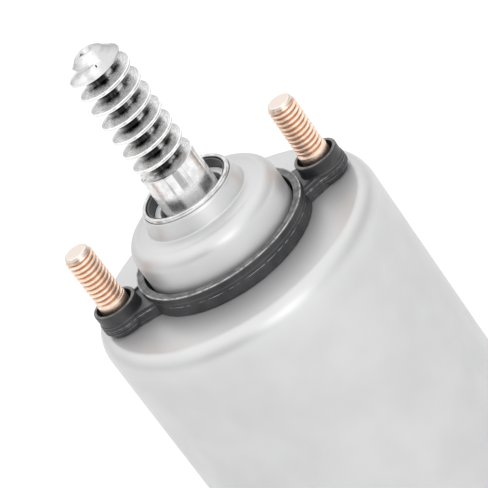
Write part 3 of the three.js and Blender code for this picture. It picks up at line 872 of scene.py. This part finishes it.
def make_gasket():
    """A collar round the boss, joined by webs to two ridged eyelets round the studs."""
    foot = above(GASKET_FOOT)
    collar = turned("gasket_moulding", rounded([
        (16.95, foot, 0.1), (COLLAR_RADIUS, foot, 0.1), (COLLAR_RADIUS, above(1.95), 0.15),
        (18.35, above(SEAM_HEIGHT), 0.05), (18.62, above(2.3), 0.15),
        (18.62, above(COLLAR_TOP), 0.3), (18.1, above(COLLAR_TOP), 0.05),
        (17.9, above(COLLAR_TOP - 0.12), 0.1),
        (17.4, above(COLLAR_TOP - 0.12), 0.1), (17.25, above(COLLAR_TOP), 0.05),
        (16.95, above(COLLAR_TOP), 0.15),
    ]), 256)
    ridges = []
    for low in (1.05 + RIDGE_PITCH * k for k in range(3)):
        ridges += [(4.7, above(low), 0.04), (4.85, above(low + 0.12), 0.08),
                   (4.85, above(low + 0.34), 0.08), (4.7, above(low + 0.46), 0.04)]
    parts = []
    for side in (-1, 1):
        parts.append(turned("tool", rounded([
            (0, foot), (4.1, foot, 0.15), *ridges, (4.8, above(3.05), 0.2),
            (4.6, above(3.3), 0.15), (4.65, above(GASKET_TOP), 0.25), (0, above(GASKET_TOP)),
        ]), 96, side * BOLT_X))
        web = [(17.6, 5.2), (17.6, -5.2), (22.5, -4.2), (22.5, 4.2)]
        parts.append(loft("tool", [
            [(side * px, py, above(h)) for px, py in web] for h in (GASKET_FOOT, 3)]))
        rib = [(18.4, -4.3), (20.6, -3.9), (20.6, -3.4), (18.4, -3.8)]
        parts.append(loft("tool", [
            [(side * px, side * py, above(h)) for px, py in rib] for h in (2.5, 3.35)]))
    combine(collar, parts, "UNION")
    bores = [post(EYELET_BORE, above(-1), above(7), x) for x in (-BOLT_X, BOLT_X)]
    combine(collar, bores, "DIFFERENCE")
    place(collar, "housing", "black_rubber", "profile_gasket", look=gasket_rubber())


# ------------------------------------------------------------------ end cover and connector

def swept(name, profile, sections):
    """A solid through sections (y, grow) of a rounded rectangle (half_x, low, high, corner)."""
    half_x, low, high, corner = profile
    loops = []
    for y, grow in sections:
        outline = rounded_rectangle(half_x + grow, low - grow, high + grow, corner)
        loops.append([(px, y, pz) for px, pz in outline])
    return loft(name, loops)


def slab(low, high):
    """A block between two opposite corners."""
    (x0, y0, z0), (x1, y1, z1) = low, high
    corners = [(x0, y0), (x1, y0), (x1, y1), (x0, y1)]
    return loft("tool", [[(px, py, z) for px, py in corners] for z in (z0, z1)])


def pocket(azimuth):
    """A shallow wedge-shaped core-out in the rear face of the end cover."""
    loops = []
    for z, shrink in ((-1, 0), (0.15, 0), (0.4, 0.12), (0.5, 0.4)):
        loop = []
        for radius, sweep in ((18.8 + shrink, 1), (28.4 - shrink, -1)):
            half = 7.5 - math.degrees(shrink / radius)
            for k in range(9):
                angle = math.radians(azimuth + sweep * half * (1 - k / 4))
                loop.append((radius * math.cos(angle), radius * math.sin(angle), z))
        loops.append(loop)
    return loft("tool", loops)


def make_end_cover():
    """The rear casting with its core-outs, bolt holes and terminal slots, and the O-ring."""
    spigot, spigot_top, groove, line = 29.2, 18.4, 27.9, 31.05
    bearing_seat, seat_floor, inner_face = 11.15, 3.2, 14.2
    cover = turned("end_cover_casting", rounded([
        (0, 0.25), (3, 0.25, 0.1), (3.2, 0, 0.1), (12.5, 0, 0.3), (13.3, 1.2, 0.4),
        (16.7, 1.2, 0.4), (17.5, 0, 0.3), (30.2, 0, 0.5), (CAN_RADIUS, 1, 0.5),
        (CAN_RADIUS, 12.3, 0.1), (line, 12.5, 0.1), (line, 12.9, 0.1), (CAN_RADIUS, 13.1, 0.1),
        (CAN_RADIUS, CAN_REAR, 0.2), (spigot, CAN_REAR), (spigot, 14.8), (groove, 15, 0.1),
        (groove, 16.4, 0.1), (spigot, 16.6), (spigot, spigot_top, 0.3),
        (26.8, spigot_top, 0.3), (26.8, inner_face), (bearing_seat, inner_face, 0.3),
        (bearing_seat, seat_floor), (0, seat_floor),
    ]), 192)
    cuts = [pocket(azimuth) for azimuth in (30, 52, 128, 150, 210, 232, 254, 286, 308, 330)]
    for x in (-BOLT_X, BOLT_X):
        counterbore = [(0, -1), (6, -1), (6, 0), (5.6, 0.35), (5.6, 7), (0, 7)]
        cuts.append(turned("tool", counterbore, 96, x))
        cuts.append(post(BOLT_HOLE, 6, 20, x))
    for x in TERMINALS:
        cuts.append(slab((x - 2, 13, 6.6), (x + 2, 33, 8.2)))
        cuts.append(slab((x - 2, 13, 7), (x + 2, 15.2, 15)))
    combine(cover, cuts, "DIFFERENCE")
    place(cover, "housing", "cast_aluminium", "end_cover")

    wire, radius, height = 0.58, 28.68, 15.7
    section = []
    for k in range(20):
        angle = 2 * math.pi * k / 20
        section.append((radius + wire * math.cos(angle), height + wire * math.sin(angle)))
    place(turned("cover_o_ring", section, 192), "housing", "black_rubber", "cover_seal_ring")


def make_connector():
    """The plug shroud on the cover's side, its inner seal and the two terminals."""
    mouth, flange_end, step_end = 49, 33.5, 47
    housing = swept("connector_shell", (10.5, 0.9, 13.3, 2.6), [
        (28, 0), (mouth - 0.7, 0), (mouth - 0.25, -0.12), (mouth, -0.4)])
    latch = [(39.5, 13), (44.5, 13), (44.5, 13.6), (40.7, 14.42), (40.5, 14.5), (39.5, 14.5)]
    joined = [
        swept("tool", (12, 0.5, 13.7, 1.4), [
            (28, 0), (flange_end - 0.5, 0), (flange_end - 0.15, -0.1), (flange_end, -0.35)]),
        swept("tool", (11.2, 6, 8, 0.6), [
            (33, 0), (step_end - 0.5, 0), (step_end - 0.15, -0.1), (step_end, -0.35)]),
        loft("tool", [[(px, py, pz) for py, pz in latch] for px in (-2.5, 2.5)]),
        *[slab((px - 0.4, 34, 13), (px + 0.4, 47.5, 13.7)) for px in (-7, 7)],
    ]
    combine(housing, joined, "UNION")
    cuts = [
        swept("tool", (8.3, 3.1, 11.1, 0.9), [
            (35, 0), (mouth - 0.8, 0), (mouth + 0.1, 0.5), (mouth + 1, 0.5)]),
        post(31.55, -1, 20, segments=192),
        *[slab((x - 1.8, 27, 6.7), (x + 1.8, 36, 8.1)) for x in TERMINALS],
    ]
    combine(housing, cuts, "DIFFERENCE")
    place(housing, "housing", "black_plastic", "connector_housing")

    seal = swept("connector_gasket", (7.8, 3.6, 10.6, 0.9), [
        (35.1, -0.1), (35.25, 0.05), (35.5, 0.1), (35.75, -0.1), (36.15, -0.1), (36.4, 0.1),
        (36.65, 0.05), (36.8, -0.1)])
    window = swept("tool", (6.2, 5.6, 9.2, 0.7), [(34, 0), (38, 0)])
    combine(seal, [window], "DIFFERENCE")
    place(seal, "housing", "black_rubber", "connector_seal")

    for i, x in enumerate(TERMINALS):
        blade = swept(f"terminal_blade_{i + 1}", (1.5, 7, 7.8, 0.12), [
            (13.6, -0.05), (13.75, 0), (41.6, 0), (42.7, -0.2), (43, -0.33)])
        leg = slab((-1.45, 13.65, 7.3), (1.45, 14.4, 14.4))
        combine(blade, [leg], "UNION")
        blade.location.x = x * MM
        place(blade, "housing", "brass", f"terminal_{i + 1}")


make_can()
make_seal()
make_shaft()
for brush in (1, 2):
    make_brush_spring(brush)
for side, bolt_x in (("left", -BOLT_X), ("right", BOLT_X)):
    make_bolt(f"stud_bolt_{side}", f"bolt_{side}", f"through_bolt_{side}", bolt_x)
make_gasket()
make_end_cover()
make_connector()

# The inner parts that are still shown keep their CAD shape and take the finish of their slot.
for node in frame["nodes"].values():
    if not node.hide_render:
        node.data.materials[0] = finishes[node.data.materials[0].name.split(".")[0]]
        shade(node, 35)


# ------------------------------------------------------------------ floor, light and camera

def make_floor():
    reach, drop = 6000, -0.1
    corners = [(x * reach, y * reach, drop) for x, y in ((-1, -1), (1, -1), (1, 1), (-1, 1))]
    floor = new_object("studio_floor", corners, [(0, 1, 2, 3)])
    f = Finish("pale_floor", 0.0, Roughness=0.8)
    f.colour(f.mottle(f.noise(0.004, 2.0), grey(0.93), grey(0.95)))
    floor.data.materials.append(f.material)


def make_world():
    """White surroundings, brighter overhead, with two soft dark patches for the metal to mirror."""
    world = bpy.data.worlds.new("studio")
    scene.world = world
    world.use_nodes = True
    graph = Graph(world.node_tree)
    background = graph.nodes["Background"]
    background.inputs["Color"].default_value = (1, 1, 1, 1)
    direction = graph.nodes.new("ShaderNodeTexCoord").outputs["Generated"]

    def toward(axis, low, high, strength):
        """Rises smoothly to the strength as the direction closes on the axis."""
        dot = graph.nodes.new("ShaderNodeVectorMath")
        dot.operation = "DOT_PRODUCT"
        dot.inputs[1].default_value = Vector(axis).normalized()
        graph.links.new(direction, dot.inputs[0])
        return graph.remap(dot.outputs["Value"], low, high, 0, strength)

    strength = graph.math("ADD", toward((0, 0, 1), -0.1, 0.75, 0.74), 0.62)
    for axis, depth in (((-0.5, -0.85, 0.1), 0.7), ((1, 0, 0.1), 0.4)):
        strength = graph.math("SUBTRACT", strength, toward(axis, 0.75, 0.98, depth))
    graph.links.new(strength, background.inputs["Strength"])


def area_light(name, position, target, size, power):
    data = bpy.data.lights.new(name, "AREA")
    data.shape = "SQUARE"
    data.size = size
    data.energy = power
    lamp = bpy.data.objects.new(name, data)
    scene.collection.objects.link(lamp)
    lamp.location = position
    lamp.rotation_mode = "QUATERNION"
    lamp.rotation_quaternion = (Vector(target) - Vector(position)).to_track_quat("-Z", "Y")


def make_camera():
    """The photo's viewpoint: a long lens from the front, tipped down and rolled to one side."""
    data = bpy.data.cameras.new("photo_view")
    data.lens = 210.07
    data.sensor_width = 36
    data.clip_start, data.clip_end = 0.01, 20
    camera = bpy.data.objects.new("photo_view", data)
    scene.collection.objects.link(camera)
    camera.location = (-0.01092, -0.491345, 0.32849)
    heading, tilt, roll = (math.radians(angle) for angle in (-1.6007, 63.4602, -35.9372))
    aim = Matrix.Rotation(heading, 3, "Z") @ Matrix.Rotation(tilt, 3, "X")
    camera.rotation_mode = "QUATERNION"
    camera.rotation_quaternion = (aim @ Matrix.Rotation(roll, 3, "Z")).to_quaternion()
    scene.camera = camera


make_floor()
make_world()
area_light("key", (0.05, -0.92, 0.42), (0, 0, 0.08), 0.5, 2.0)
make_camera()
scene.view_settings.view_transform = "Standard"
